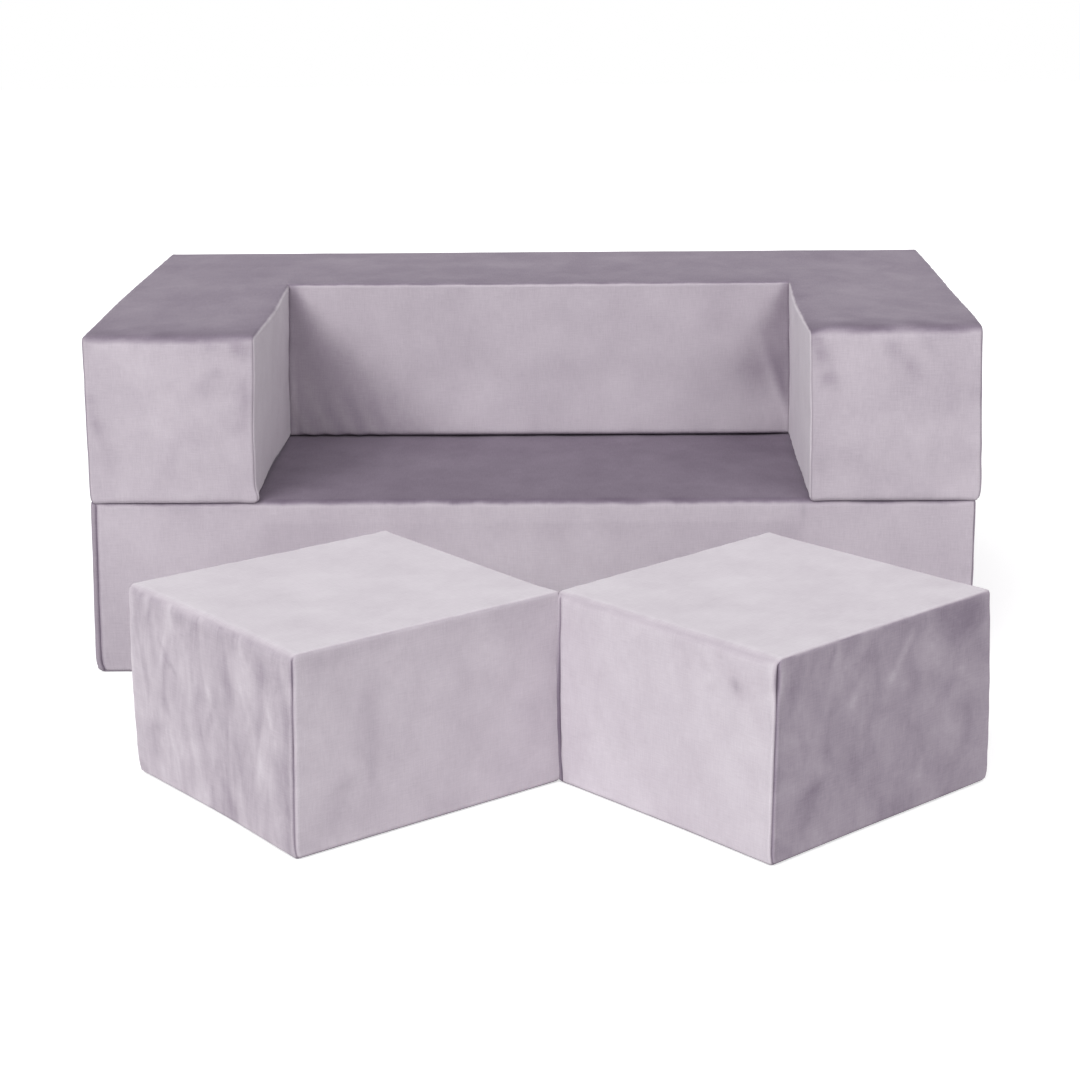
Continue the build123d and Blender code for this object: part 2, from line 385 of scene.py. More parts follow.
class Skin:
    """One module's cover: points, their normals, quads, and each quad's panel."""

    def __init__(self, name, width, depth, height, place, bay=False):
        self.name = name
        self.width, self.depth, self.height = width, depth, height
        self.place = place
        x, y = width / 2, depth / 2
        slot_x = x - zip_margin
        slot_levels = (zip_height - slot_height / 2, zip_height + slot_height / 2)
        edges_x = (-x, -seat_x, seat_x, x) if bay else (-x, x)
        edges_y = (-y, seat_y, y) if bay else (-y, y)
        lines = [grid_lines(edges_x, (-slot_x, slot_x)), grid_lines(edges_y)]
        lines.append(grid_lines((0, height), slot_levels))
        cells = np.meshgrid(*[(line[1:] + line[:-1]) / 2 for line in lines], indexing="ij")
        inside = (abs(cells[0]) > seat_x) | (cells[1] > seat_y) if bay else np.ones(cells[0].shape, bool)
        quads, ways = shell_faces(inside)
        counts = [len(line) for line in lines]
        flat = np.ravel_multi_index(tuple(quads.reshape(-1, 3).T), counts)
        used, inverse = np.unique(flat, return_inverse=True)
        index = np.array(np.unravel_index(used, counts))
        self.sharp = np.stack([lines[axis][index[axis]] for axis in range(3)], axis=1)
        quads = inverse.reshape(-1, 4)
        middle = self.sharp[quads].mean(axis=1)
        in_slot = (middle[:, 1] > y - tie) & (abs(middle[:, 0]) < slot_x)
        in_slot &= (middle[:, 2] > slot_levels[0]) & (middle[:, 2] < slot_levels[1])
        self.quads, self.ways, middle = quads[~in_slot], ways[~in_slot], middle[~in_slot]
        wrap_to = wrapped_seams.get(name, 0) - x
        spots = zip(middle, self.ways)
        self.panels = np.array([panel_of(spot, way, bay, wrap_to) for spot, way in spots])
        self.shape(bay)

    def shape(self, bay):
        """Rounds the folds across X, and then the seams round the faces that look along X."""
        x, y = self.width / 2, self.depth / 2
        across = abs(self.sharp[:, 0])
        side = np.sign(self.sharp[:, 0])
        in_bay = (across < seat_x - tie) & bay
        low = np.where(in_bay, seat_y, -y)
        high = np.full(len(low), y)
        to_end = x - across
        if bay:
            to_end = np.where(self.sharp[:, 1] < seat_y, np.minimum(to_end, abs(across - seat_x)), to_end)
        full = fold_end_share + (1 - fold_end_share) * smooth(to_end, 0, fold_taper)
        radii = fold_radii[self.name]
        points, depth, out = round_folds(self.sharp, low, high, self.height, in_bay, radii, full)
        normals = np.column_stack([np.zeros(len(out)), out])
        round_seams(points, normals, depth, out, x - across, side, np.full(len(side), True), foot_radius)
        if bay:
            arm = (across > seat_x - tie) & (self.sharp[:, 1] < seat_y + seam_radius / 2)
            drawn_under = bump_at(self.sharp, bay_foot_place, bay_foot_size)
            foot = foot_radius + (bay_foot_radius - foot_radius) * drawn_under
            round_seams(points, normals, depth, out, across - seat_x, -side, arm, foot)
        self.points, self.normals = points, normals
        self.painted_shading = np.zeros(len(points))

    def seams(self):
        """For each point, how far the nearest seam is, and that seam's nearest point."""
        met = [set() for point in self.points]
        for quad, panel in zip(self.quads.tolist(), self.panels):
            for corner in quad:
                met[corner].add(panel)
        on_seam = np.array([index for index, panels in enumerate(met) if len(panels) > 1])
        find = nearest_to(self.points[on_seam])
        found = [find(point) for point in self.points]
        return np.array([entry[2] for entry in found]), on_seam[[entry[1] for entry in found]]

    def displace(self, heights):
        """Moves the points out along their normals."""
        self.points = self.points + self.normals * heights[:, None]


def sew(skin):
    """Draws the cloth in along the seams, with a low ridge on both sides and a few puckers."""
    away, nearest = skin.seams()
    level = smooth(skin.normals[nearest][:, 2], *level_limits)
    standing_share = standing_groove_shares[skin.name]
    share = standing_share + (level_groove_share - standing_share) * level
    uneven = share * (1 + seam_unevenness * ripple(skin.sharp, seam_wave, 11))
    groove = groove_depth * hump(away, groove_width) * uneven
    ridge = ridge_height * hump(away - ridge_offset, ridge_width) * uneven
    pucker = pucker_height * ripple(skin.sharp, pucker_wave, 12) * np.exp(-away / pucker_reach)
    standing = skin.normals[:, 2] > -0.5
    skin.displace(standing * (ridge + pucker - groove))
    skin.away, skin.seam_share = away, share


def settle(skin, seed):
    """Slow unevenness of cloth over foam, which leaves the edges straight and the foot flat."""
    x, y, z = abs(skin.sharp[:, 0]), abs(skin.sharp[:, 1]), skin.sharp[:, 2]
    inner = np.sort(np.stack([skin.width / 2 - x, skin.depth / 2 - y, z, skin.height - z]), axis=0)[1]
    middle = edge_sag + (1 - edge_sag) * smooth(inner, *sag_limits)
    standing = smooth(skin.normals[:, 2], *off_floor)
    slow = 0
    for turn, (size, wavelength) in enumerate(slow_sags):
        slow = slow + size * np.tanh(ripple(skin.sharp, wavelength, seed + turn))
    skin.displace(standing * middle * slow)


def panel_of(middle, way, bay, wrap_to):
    """Which panel a quad belongs to. A block's left end may wrap round its front corner."""
    if way[2]:
        return "underside" if way[2] < 0 else "strip"
    if bay and abs(middle[0]) < seat_x + tie and middle[1] < seat_y + tie:
        if way[0]:
            return "left_bay" if way[0] > 0 else "right_bay"
        if abs(middle[0]) < seat_x:
            return "rear_bay"
    kind = "side" if bay else "end"
    if way[0] < 0 or (way[1] < 0 and middle[0] < wrap_to):
        return f"left_{kind}"
    return f"right_{kind}" if way[0] > 0 else "strip"


def flare(skin):
    """Loose cloth that stands out from the foam at a corner, mostly towards its foot."""
    x, y, z = skin.sharp.T
    half_x, half_y = skin.width / 2, skin.depth / 2
    for side_x, side_y, out_x, out_y, top_share, power in flares[skin.name]:
        height = top_share + (1 - top_share) * np.clip(1 - z / skin.height, 0, 1) ** power
        height = height * (1 - foot_pinch * hump(z, pinch_reach))
        end = smooth(side_x * x, half_x - flare_reach, half_x)
        wall = smooth(side_y * y, half_y - flare_reach, half_y)
        skin.points[:, 0] += side_x * out_x * height * end * smooth(side_y * y, -half_y / 2, half_y)
        start = half_x - flare_reach if side_y > 0 else 0
        skin.points[:, 1] += side_y * out_y * height * wall * smooth(side_x * x, start, half_x)


def settle_arms(skin):
    """The back unit's edge round the bay stands a little proud, and its feet sag over the base."""
    x, y, z = skin.sharp.T
    topmost = smooth(z, back_height / 2, back_height)
    round_bay = hump(y - seat_y, bay_rise_reach) * smooth(abs(x), seat_x + arm_width, seat_x)
    right_front = smooth(x, *arm_rise_limits) * smooth(y, seat_y, -sofa_depth / 2)
    skin.points[:, 2] += topmost * (bay_rise * round_bay + arm_rise * right_front)
    front_foot = smooth(-y, sofa_depth / 2 - droop_depth, sofa_depth / 2) * hump(z, droop_height)
    skin.points[:, 1:] -= front_foot[:, None] * np.array((arm_droop / 2, arm_droop))
    backrest = smooth(-skin.normals[:, 1], *backrest_limits) * (y > 0)
    backrest = backrest * smooth(seat_x - abs(x), 0, backrest_fade) * smooth(z, backrest_reach_height, 0)
    skin.points[:, 1] -= backrest_reach * backrest


def backrest_folds(x, z):
    """How far the folds in the backrest's corners stand out at a place."""
    wave = np.sin(2 * math.pi * (x + short_fold_lean * z) / short_fold_pitch)
    short_folds = short_fold_rise * wave * hump(z, short_fold_height) * smooth(x, *short_fold_limits)
    beside_seam = hump(x + seat_x - seam_fold_offset, seam_fold_width) * smooth(z, *seam_fold_limits)
    across = (x - long_fold_place[0]) + long_fold_lean * (z - long_fold_place[1])
    long_fold = hump(across, long_fold_width) - hollow_share * hump(across + hollow_offset, hollow_width)
    along = hump(z - long_fold_middle, long_fold_reach)
    return short_folds + seam_fold_rise * beside_seam + long_fold_rise * along * long_fold


def crumple_back(skin):
    """Folds of the back unit's cover in the seat bay's corners and at the left arm's foot, with painted
    light and shade by their slope.
    """
    sharp, normals = skin.sharp, skin.normals
    x, y, z = sharp.T
    rear_bay = smooth(-normals[:, 1], *wall_limits) * (abs(x) < seat_x) * (y > 0)
    skin.displace(rear_bay * backrest_folds(x, z))
    slope = (backrest_folds(x + fold_probe, z) - backrest_folds(x - fold_probe, z)) / (2 * fold_probe)
    skin.painted_shading += rear_bay * np.clip(fold_shading * slope, -shading_limit, shading_limit)
    inward = smooth(abs(normals[:, 0]), *wall_limits) * (abs(x) < seat_x + tie)
    waist = np.where(x < 0, left_waist, right_waist) * hump(z, waist_height)
    skin.displace(-waist * inward * arch(y, -sofa_depth / 2, seat_y))
    for side, size in bay_leans:
        near_wall = hump(x - side * seat_x, lean_reach) * smooth(y, seat_y + lean_reach, seat_y)
        skin.points[:, 0] -= side * size * near_wall * smooth(z, lean_height, back_height)
    skin.points += bump_at(sharp, knot_place, knot_size)[:, None] * np.array(knot_push)


def open_corner(skin, gap):
    """Lets the seam at a block's front right corner gape a little near its top, with painted shade in the
    gap and a painted highlight on its lips.
    """
    corner = (skin.width / 2, -skin.depth / 2, corner_height)
    near = bump_at(skin.sharp, corner, gap_size)
    lips = bump_at(skin.sharp, corner, lip_size) - near
    skin.displace(lips * gap * lip_share - near * gap)
    skin.painted_shading += (lip_highlight * lips - gap_shadow * near) * gap / open_gap


def swell(skin, out_x, out_y):
    """Moves a skin's walls out in plan."""
    for axis, out in enumerate((out_x, out_y)):
        skin.points[:, axis] += out * skin.normals[:, axis] * abs(skin.normals[:, axis])


def block_skin(name, width, depth, height, place, seed):
    """Cover of a block, swollen along its strip as the foam is and a little at its ends."""
    skin = Skin(name, width, depth, height, place)
    lengthways = arch(skin.sharp[:, 1], -depth / 2, depth / 2)
    upright = arch(skin.sharp[:, 2], 0, height)
    swell(skin, end_swell * lengthways * upright, swell_of(height) * upright)
    flare(skin)
    settle(skin, seed)
    return skin


def back_skin(name, place):
    """Cover of the back unit: its walls swell in plan, apart from the rear wall with the zip."""
    skin = Skin(name, sofa_width, sofa_depth, back_height, place, bay=True)
    sharp = skin.sharp
    x, y = sofa_width / 2, sofa_depth / 2
    in_bay = (abs(sharp[:, 0]) < seat_x + arm_width / 2) & (sharp[:, 1] < seat_y + arm_width / 2)
    sides = swell_of(sofa_depth) * arch(sharp[:, 1], -y, y)
    bay_sides = swell_of(seat_depth) * arch(sharp[:, 1], -y, seat_y)
    arm_front = swell_of(arm_width) * arch(abs(sharp[:, 0]), seat_x, x)
    bay_rear = crown * arch(sharp[:, 0], -seat_x, seat_x)
    outward_x = np.where(in_bay, bay_sides, sides)
    outward_y = np.where(sharp[:, 1] < 0, np.where(abs(sharp[:, 0]) < seat_x, bay_rear, arm_front), 0)
    outward_y = np.where((sharp[:, 1] > 0) & (sharp[:, 1] < y / 2), bay_rear, outward_y)
    swell(skin, outward_x, outward_y)
    flare(skin)
    settle(skin, 31)
    settle_arms(skin)
    crumple_back(skin)
    return skin


# Nap and painted shade: how light each stretch of velvet looks, from 0 where the pile lies away to 1
# where it lies towards the light. Every panel has its own shade, and so have the module's top and the rear
# wall
# Each shade is partly the pile's lie and partly painted light and shade for how light falls on its panel
panel_shades = {
    "base": {"top": 0.11, "strip": 0.67, "rear": 0.8, "left_end": 0.42, "right_end": 0.5, "underside": 0.3},
    "back_unit": {"top": 0.3, "strip": 0.66, "rear": 0.8, "left_side": 0.5, "right_side": 0.5,
                  "left_bay": 0.86, "right_bay": 0.92, "rear_bay": 0.7, "underside": 0.3},
    "pouf_left": {"top": 0.94, "strip": 0.69, "rear": 0.85, "left_end": 0.7, "right_end": 0.71,
                  "underside": 0.3},
    "pouf_right": {"top": 0.93, "strip": 0.82, "rear": 0.85, "left_end": 0.75, "right_end": 0.42,
                   "underside": 0.3},
}

# How strongly strokes of the hand, and then patches, show on a panel
worked_panels = {
    "base": {"strip": (0.1, 0.2), "top": (0.1, 0.25)},
    "pouf_left": {"strip": (0.8, 0.7), "right_end": (0.1, 0.35), "top": (0.1, 0.25)},
    "pouf_right": {"strip": (0.1, 0.3), "right_end": (0.2, 0.8), "top": (0.1, 0.3)},
    "back_unit": {"rear_bay": (0.1, 0.15), "strip": (0.15, 0.35), "top": (0.1, 0.25)},
}
plain_worked = (0.12, 0.15)

# Painted shade where velvet turns over into the top, which keeps the lamps' highlight off the fold, and at
# what lean
fold_dims = {"base": 0.02, "back_unit": 0, "pouf_left": 0.15, "pouf_right": 0.19}
fold_dim_middle = 0.7
fold_dim_spread = 0.34
fold_dim_end = 0.9

# Waves in where one shade gives way to the next, and in the shade: size, wavelength and seed
nap_waves = ((0.06, 0.06, 41), (0.035, 0.014, 44))
slow_shades = ((0.014, 0.12, 42), (0.008, 0.045, 43))
# Painted shade down each seam's groove
seam_shade = 0.35

# Darker bands behind the front folds, by how far they reach and their strength, and round the bay
front_bands = {"base": (0.014, 0.05), "back_unit": (0.054, 0.12)}
band_unevenness = 0.6
band_wave = 0.045
beside_arm_width = 0.014
above_bay_reach = 0.035
bay_band = 0.05

# Where the two poufs were pushed in, on the base's front
imprint_half = 0.306
imprint_top = 0.178
imprint_shade = 0.032
imprint_right_gain = 0.6
imprint_blur = 0.0008

# Painted shadows in the backrest's corners, in wedges that widen downwards: how far out each ends and how
# far out it is full, as shares of its width, and its strength. A painted lit patch stands in the left one
wedge_start = 0.01
wedge_growth = 0.155
wedge_power = 1.25
left_wedge = (1.55, 0.4, 0.26)
right_wedge = (1.3, 0.3, 0.25)
right_wedge_limits = (0.15, 0.5)
lit_share = 0.4
lit_offset = 0.012
lit_width = 0.022
lit_middle = 0.25
lit_height = 0.35

# Hand marks, each a soft oval: where its middle is along the face and up it, how far it reaches both
# ways, its strength, and its lean if it has one, all in thousandths. Some are painted light and shade:
# dark ovals where the poufs meet and at the backrest's ends are painted shade, and broad light ovals
# on the base's front and the back unit's left arm front are painted light on stretches in shade
hand_marks_and_painted_light = {
    ("pouf_left", "right_end"): (
        (270, 550, 35, 420, -90), (170, 720, 60, 200, -30), (170, 120, 140, 80, -50),
        (450, 955, 450, 30, -50), (13, 450, 6, 500, 120), (120, 930, 100, 40, -50),
        (270, 350, 12, 100, -50), (550, 850, 200, 60, -20), (800, 400, 120, 400, 20),
    ),
    ("pouf_left", "strip"): (
        (965, 250, 35, 500, -200), (10, 600, 8, 500, 100), (220, 720, 8, 60, -180, -500),
        (270, 660, 7, 30, -150, -600), (420, 930, 160, 30, -100), (600, 720, 35, 70, -100),
        (500, 600, 12, 100, 100, -300), (720, 660, 14, 120, 130, -300), (380, 300, 20, 160, 100, -200),
        (880, 620, 10, 120, 120, -250), (800, 350, 12, 140, 80, 200), (500, 500, 12, 100, -100, 300),
        (600, 100, 30, 80, -120, -300), (840, 220, 12, 70, -120), (120, 860, 50, 50, -80),
    ),
    ("pouf_left", "top"): (
        (340, 40, 120, 50, 50), (780, 200, 100, 50, -50), (660, 300, 70, 50, 50), (600, 700, 100, 40, 40),
        (200, 750, 150, 60, -30),
    ),
    ("pouf_right", "strip"): (
        (830, 820, 18, 30, -170, -200), (850, 800, 35, 45, -70), (690, 870, 20, 35, -80),
        (580, 930, 50, 30, -60), (620, 860, 10, 50, -70, -300), (750, 940, 15, 20, -90),
        (965, 880, 30, 50, -120), (730, 770, 25, 35, -70, 400), (300, 400, 250, 300, 15),
        (930, 700, 20, 100, -50, -300), (550, 800, 12, 40, 50),
    ),
    ("pouf_right", "left_end"): (
        (0, 300, 40, 420, -600),
    ),
    ("pouf_right", "right_end"): (
        (570, 830, 18, 110, 130, 450), (510, 730, 28, 30, 100), (340, 690, 20, 50, 100, 300),
        (840, 640, 35, 20, 100), (810, 680, 12, 50, 70), (240, 930, 10, 60, -140, 250),
        (290, 900, 10, 50, -80, 250), (900, 900, 80, 90, -140), (740, 970, 120, 50, -80),
        (500, 960, 120, 50, -60), (420, 850, 60, 80, -50), (300, 300, 200, 100, -50),
        (50, 820, 30, 80, -80), (700, 350, 200, 200, 40), (930, 200, 50, 150, -40),
    ),
    ("back_unit", "rear_bay"): (
        (560, 420, 30, 100, -30), (600, 800, 150, 80, -30), (497, 500, 2, 600, -30),
        (880, 800, 70, 250, -60), (985, 300, 15, 200, -80), (240, 400, 140, 600, -35),
    ),
    ("back_unit", "strip"): (
        (90, 500, 100, 900, 50), (130, 680, 14, 70, -90, 80), (145, 780, 8, 30, -80, 50),
        (13, 450, 6, 80, -110, -50), (22, 250, 10, 120, -70), (8, 620, 5, 50, -80),
        (177, 620, 6, 120, -130), (170, 450, 8, 50, -70, 100), (90, 985, 120, 25, -100),
        (172, 930, 12, 60, -180), (140, 940, 12, 30, -100), (60, 950, 10, 30, -60),
        (825, 860, 9, 60, -150, -50), (833, 720, 9, 40, -130), (900, 880, 8, 60, -100, -50),
        (923, 780, 10, 70, -80, -120), (940, 900, 8, 80, -60, -120), (900, 985, 120, 25, -80),
        (818, 940, 8, 40, -120), (960, 940, 20, 20, -60),
    ),
    ("back_unit", "top"): (
        (400, 820, 200, 50, 30), (620, 900, 100, 40, 40), (320, 920, 60, 30, 30), (90, 250, 100, 250, 30),
        (910, 250, 100, 250, 35), (500, 700, 300, 60, -30), (900, 750, 60, 50, 40),
        (950, 600, 30, 120, 50, 100), (880, 450, 30, 80, 40), (100, 300, 50, 150, -30),
        (60, 650, 40, 100, 30), (130, 800, 80, 50, -30),
    ),
    ("base", "strip"): (
        (807, 930, 1.5, 70, -120), (20, 200, 20, 300, -50), (100, 970, 80, 30, -50),
        (120, 500, 160, 900, 25), (520, 500, 200, 600, 120), (530, 400, 80, 400, 50),
    ),
    ("base", "top"): (
        (770, 450, 40, 120, -80), (600, 500, 50, 40, 50, 500), (300, 350, 120, 120, 50, -600),
        (500, 300, 60, 100, 30), (710, 550, 30, 30, 60), (250, 600, 60, 120, 30),
    ),
}


def marks_of(skin, face, chosen):
    """Hand marks, and ovals of painted light and shade, on a face of a module, added up."""
    along, up = int(face.endswith("_end")), 1 if face == "top" else 2
    length = 2 * seat_x if face == "rear_bay" else (skin.width, skin.depth)[along]
    u = skin.sharp[chosen][:, along] / length + 0.5
    v = skin.sharp[chosen][:, up] / (skin.depth if face == "top" else skin.height) + (face == "top") / 2
    total = 0
    for mark in hand_marks_and_painted_light.get((skin.name, face), ()):
        at_u, at_v, size_u, size_v, strength, *lean = [value / 1000 for value in mark]
        away_u = u - at_u - sum(lean) * (v - at_v)
        total = total + strength * hump(away_u, size_u) * hump(v - at_v, size_v)
    return total


def painted_corner_shadows(x, z):
    """Painted shadows in the backrest's corners, in wedges that widen downwards, with a painted lit patch
    in the left one.
    """
    share = z / back_height
    wedge = wedge_start + wedge_growth * np.clip(1 - share, 0, 1) ** wedge_power
    lit = lit_share * hump(x + seat_x - lit_offset, lit_width) * hump(share - lit_middle, lit_height)
    shades = []
    for inward, (start, end, strength) in ((x + seat_x, left_wedge), (seat_x - x, right_wedge)):
        shades.append(strength * smooth(inward, start * wedge, end * wedge))
    return shades[0] * (1 - lit) + shades[1] * smooth(share, *right_wedge_limits)


def top_bands(skin, sharp):
    """Darker bands on a level face: behind the front folds, and beside the seat bay."""
    if skin.name not in front_bands:
        return 0
    reach, strength = front_bands[skin.name]
    band = strength * hump(sharp[:, 1] + skin.depth / 2, reach)
    band = band * (1 + band_unevenness * ripple(sharp, band_wave, 45))
    if skin.name == "back_unit":
        beside_arm = hump(abs(sharp[:, 0]) - seat_x, beside_arm_width) * (sharp[:, 1] < seat_y)
        above_bay = hump(sharp[:, 1] - seat_y, above_bay_reach) * (abs(sharp[:, 0]) < seat_x)
        band = band + bay_band * (beside_arm + above_bay)
    return band


def nap_and_shade_of(skin, panel, chosen):
    """Nap and painted shade of a panel's points. The strip changes over each fold, every seam gets painted
    shade.
    """
    sharp, normals = skin.sharp[chosen], skin.normals[chosen]
    shades = panel_shades[skin.name]
    top = smooth(normals[:, 2] + ripples(sharp, nap_waves), *top_limits)
    rear = smooth(normals[:, 1], *rear_limits) * (panel == "strip")
    upright = (shades[panel] + marks_of(skin, panel, chosen)) * (1 - rear) + shades["rear"] * rear
    # Painted shade on the fold, against the lamps' highlight there
    fold = fold_dims[skin.name] * hump(normals[:, 2] - fold_dim_middle, fold_dim_spread)
    fold = fold * smooth(normals[:, 2], 1, fold_dim_end)
    # Painted shadows in the backrest's corners
    if panel == "rear_bay":
        upright = upright - painted_corner_shadows(sharp[:, 0], sharp[:, 2])
    if skin.name == "base":
        edge = np.minimum(imprint_half - abs(sharp[:, 0]), imprint_top - sharp[:, 2])
        pressed = smooth(edge, -imprint_blur, imprint_blur)
        right_half = smooth(sharp[:, 0], -imprint_blur, imprint_blur)
        upright = upright - imprint_shade * pressed * (1 + imprint_right_gain * right_half)
    level = shades["top"] + marks_of(skin, "top", chosen) - top_bands(skin, sharp)
    # Painted shade down the seams' grooves
    seam = seam_shade * hump(skin.away[chosen], groove_width) * skin.seam_share[chosen]
    nap = upright * (1 - top) + level * top + ripples(sharp, slow_shades)
    return np.clip(nap - seam - fold + skin.painted_shading[chosen], 0, 1)


def worked_of(skin, panel, chosen, kind):
    """How strongly strokes of the hand, kind 0, or patches, kind 1, show on a panel."""
    strengths = worked_panels.get(skin.name, {})
    top = smooth(skin.normals[chosen][:, 2], *worked_top_limits)
    upright, level = [strengths.get(face, plain_worked)[kind] for face in (panel, "top")]
    return upright * (1 - top) + level * top


# Panels

def cloth_place(sharp, ways):
    """Where each corner lies on its flat panel, in metres: along the panel, then up or back."""
    x, y, z = sharp[..., 0], sharp[..., 1], sharp[..., 2]
    across = abs(ways[..., 0]) > 0.5
    level = abs(ways[..., 2]) > 0.5
    u = np.where(across, y, x)
    v = np.where(level, 0.5 + y, z)
    return np.stack([u, v], axis=-1)


def panel_mesh(skin, panel):
    """One panel of a skin as its own mesh, in the row's frame, with its nap, painted shade and flat layout.
    """
    chosen = skin.panels == panel
    quads = skin.quads[chosen]
    ways = np.repeat(skin.ways[chosen][:, None], 4, axis=1)
    layout = cloth_place(skin.sharp[quads], ways)
    used, inverse = np.unique(quads, return_inverse=True)
    faces = inverse.reshape(-1, 4)
    points = skin.points[used]
    looks = {"nap": nap_and_shade_of(skin, panel, used)}
    for kind, label in enumerate(("brushed", "patchy")):
        looks[label] = worked_of(skin, panel, used, kind)
    if panel == "strip":
        edges, turned = hem_of(skin, used, faces)
        faces = np.concatenate([faces, edges])
        points = np.concatenate([points, skin.points[used][turned] - (0, hem_depth, 0)])
        looks = {label: np.concatenate([values, values[turned]]) for label, values in looks.items()}
        layout = np.concatenate([layout, np.zeros((len(edges), 4, 2))])
    piece = new_piece(f"{skin.name}_cover_{panel}_cloth", placed(skin, points), faces)
    for label, values in looks.items():
        shade = piece.data.attributes.new(label, "FLOAT", "POINT")
        shade.data.foreach_set("value", values.astype(np.float32))
    sheet = piece.data.uv_layers.new(name="cloth")
    sheet.data.foreach_set("uv", layout.astype(np.float32).ravel())
    return piece


def hem_of(skin, used, faces):
    """Quads that turn the cloth in round the zip's opening, and the points that they turn in from."""
    sides = np.concatenate([faces[:, [a, b]] for a, b in ((0, 1), (1, 2), (2, 3), (3, 0))])
    index, count = np.unique(np.sort(sides, axis=1), axis=0, return_index=True, return_counts=True)[1:]
    border = sides[index[count == 1]]
    ends = skin.sharp[used][border]
    slot_x = skin.width / 2 - zip_margin + tie
    slot_z = slot_height / 2 + tie
    at_slot = (abs(ends[..., 0]) < slot_x) & (abs(ends[..., 2] - zip_height) < slot_z)
    border = border[(at_slot & (ends[..., 1] > 0)).all(axis=1)]
    turned, place = np.unique(border, return_inverse=True)
    inner = place.reshape(border.shape) + len(used)
    return np.column_stack([border[:, 1], border[:, 0], inner[:, 0], inner[:, 1]]), turned


def placed(skin, points):
    """A module's points in the row's frame."""
    return points @ np.array(skin.place.to_3x3()).T + np.array(skin.place.translation)


def new_piece(name, points, faces):
    """New smooth object in the scene."""
    mesh = bpy.data.meshes.new(name)
    mesh.from_pydata(points.tolist(), [], faces.tolist())
    mesh.validate()
    mesh.polygons.foreach_set("use_smooth", np.ones(len(mesh.polygons), bool))
    piece = bpy.data.objects.new(name, mesh)
    bpy.context.collection.objects.link(piece)
    return piece


# Zips

def tube(points, rounds, radius):
    """Wire along points, as rings of vertices. rounds gives the wire's way out at each point."""
    along = np.gradient(points, axis=0)
    along /= np.linalg.norm(along, axis=1)[:, None]
    side = np.cross(along, rounds)
    ring = [points + radius * (math.cos(turn) * rounds + math.sin(turn) * side) for turn in wire_turns]
    vertices = np.stack(ring, axis=1).reshape(-1, 3)
    sides = len(wire_turns)
    turns = np.arange(sides)
    rings = np.arange(len(points) - 1)[:, None] * sides
    start, after = rings + turns, rings + (turns + 1) % sides
    faces = np.stack([start, start + sides, after + sides, after], axis=-1).reshape(-1, 4)
    caps = np.array([turns, (len(points) - 1) * sides + turns[::-1]])
    return vertices, np.concatenate([faces, caps])


def coil_half(length, side):
    """Half of the chain: a nylon wire wound round its line along the tape's edge."""
    start = -length / 2 + coil_wire + (side > 0) * coil_pitch / 2
    turns = int((length - 2 * coil_wire) / coil_pitch - 0.5)
    angle = np.arange(turns * coil_points + 1) * 2 * math.pi / coil_points
    centre = side * (chain_gap + chain_width) / 2
    level = (tape_face + chain_top) / 2
    outward = np.column_stack([np.zeros(len(angle)), np.cos(angle), np.sin(angle)])
    size = np.array([1, chain_width / 2 - coil_wire, chain_thickness / 2 - coil_wire])
    points = outward * size + (0, centre, level)
    points[:, 0] += start + coil_pitch * angle / (2 * math.pi)
    return tube(points, outward, coil_wire)


def box_mesh(low, high):
    """Box between two corners."""
    corners = np.array([[(low, high)[bit >> axis & 1][axis] for axis in range(3)] for bit in range(8)])
    faces = np.array([(0, 2, 3, 1), (4, 5, 7, 6), (0, 1, 5, 4), (2, 6, 7, 3), (0, 4, 6, 2), (1, 3, 7, 5)])
    return corners, faces


def merged(parts):
    """Several meshes as one."""
    meshes, quads = zip(*parts)
    starts = np.cumsum([0] + [len(points) for points in meshes])
    return np.concatenate(meshes), np.concatenate([faces + start for faces, start in zip(quads, starts)])


def zip_rise(skin):
    """How far a block's rear wall has swollen out at the lower edge of the zip's tapes."""
    if skin.name == "back_unit":
        return 0
    share = (zip_height - tape_width) / skin.height
    return 4 * swell_of(skin.height) * share * (1 - share)


def zip_to_row(skin, points):
    """From the zip's frame, X along it, Y down and Z out of the rear wall, to the row's frame."""
    turned = np.column_stack([points[:, 0], points[:, 2], -points[:, 1]])
    return placed(skin, turned + (0, skin.depth / 2 + zip_rise(skin), zip_height))


def zip_half(skin, side):
    """A woven tape with its half of the coil. side is -1 for the upper and 1 for the lower."""
    slot = skin.width - 2 * zip_margin
    x = slot / 2 + tape_tail
    near, far = sorted((side * chain_gap / 2, side * tape_width))
    tape = box_mesh((-x, near, tape_face - tape_thickness), (x, far, tape_face))
    coil = coil_half(slot - 2 * slot_clearance - 2 * stop_length, side)
    points, faces = merged((tape, coil))
    return zip_to_row(skin, points), faces


def stitch_rows(skin):
    """Two rows of lock stitches that hold the tapes under the edges of the slot."""
    slot = skin.width - 2 * zip_margin
    rear = skin.points[(skin.normals[:, 1] > 0.9) & (skin.sharp[:, 2] < 2 * zip_height)]
    find = nearest_to(rear * (1, 0, 1))
    parts = []
    for x in np.arange(-slot / 2, slot / 2, stitch_pitch):
        for way in (-1, 1):
            z = zip_height + way * (slot_height / 2 + stitch_offset)
            ends = np.array([[x + share * stitch_length, 0, z] for share in stitch_shares])
            ends[:, 1] = [rear[find((place[0], 0, z))[1]][1] for place in ends]
            ends[:, 1] += stitch_radius * stitch_rise
            parts.append(tube(ends, np.tile([0.0, 1.0, 0.0], (len(ends), 1)), stitch_radius))
    points, faces = merged(parts)
    return placed(skin, points), faces


